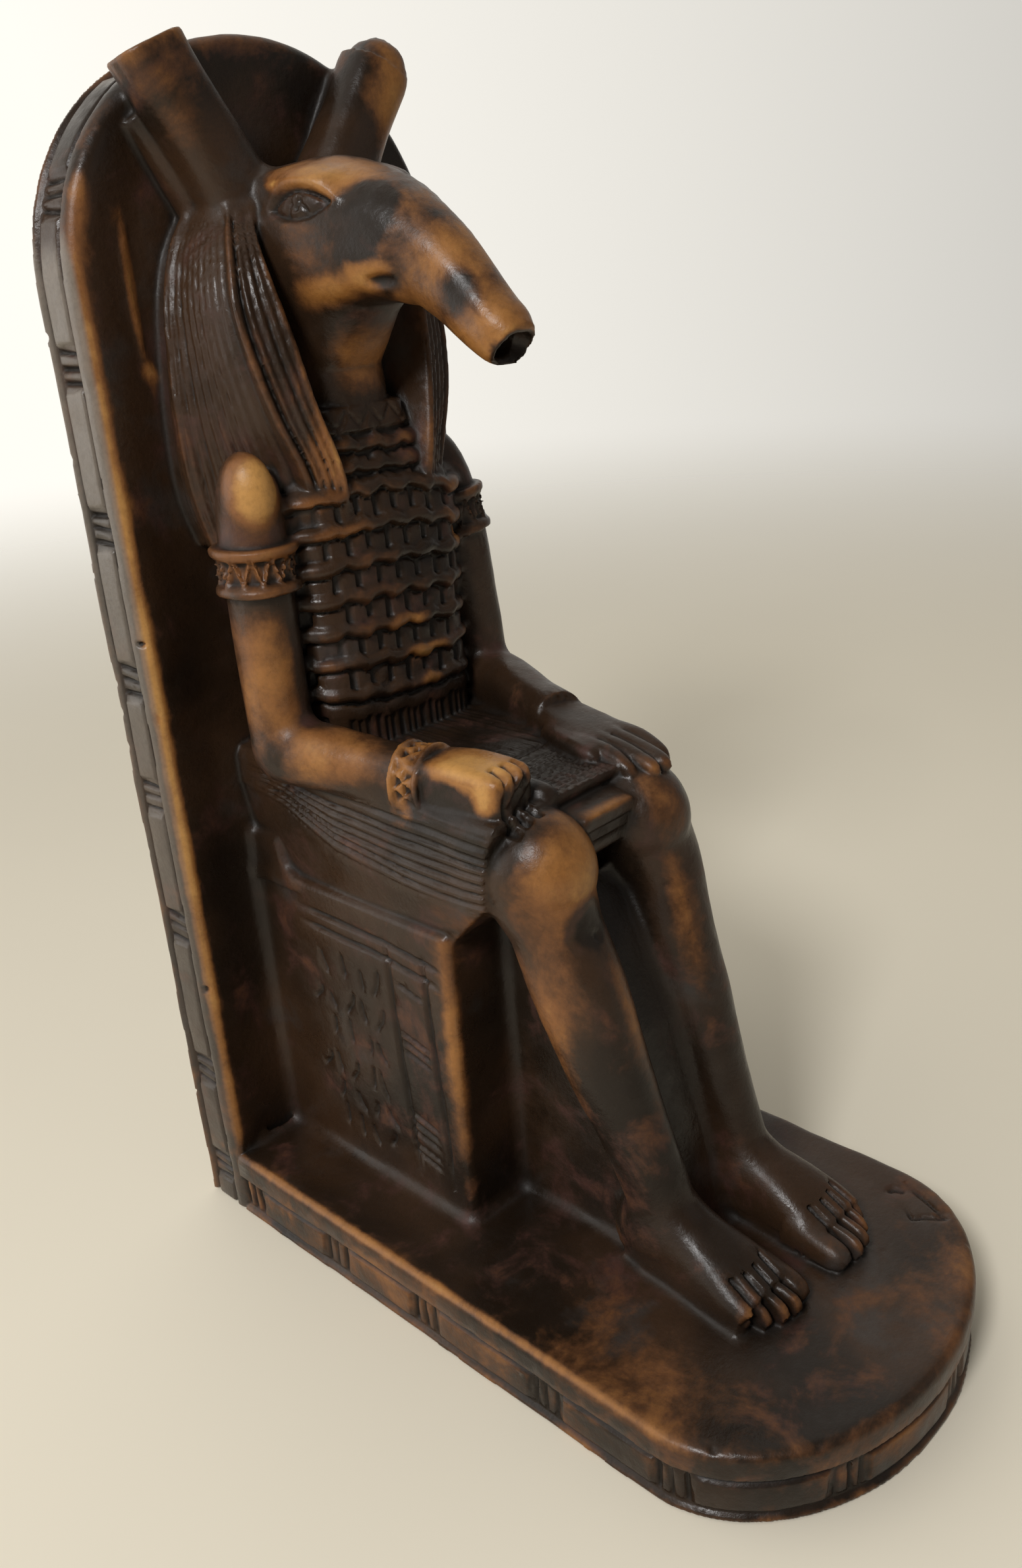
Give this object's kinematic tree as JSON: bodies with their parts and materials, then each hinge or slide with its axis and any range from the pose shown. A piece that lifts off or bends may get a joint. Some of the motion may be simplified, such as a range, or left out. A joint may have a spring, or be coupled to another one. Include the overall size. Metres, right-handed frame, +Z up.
{
  "type": "egyptian god statue",
  "caption": "Carved statuette of a seated Egyptian god with a long-snouted animal head, enthroned against a round-topped back slab on a plinth with a rounded front.",
  "frame": {"origin": "middle of the plinth's footprint, on the surface it stands on", "axes": "+Z up, the god faces -Y, and its right hand is on the -X side"},
  "size_m": [0.09, 0.168, 0.25],
  "materials": {
    "stone": "dark brown patina with a waxy gloss, worn to ochre on the high parts"
  },
  "bodies": {
    "root": {"statue": "stone"}
  },
  "joints": []
}
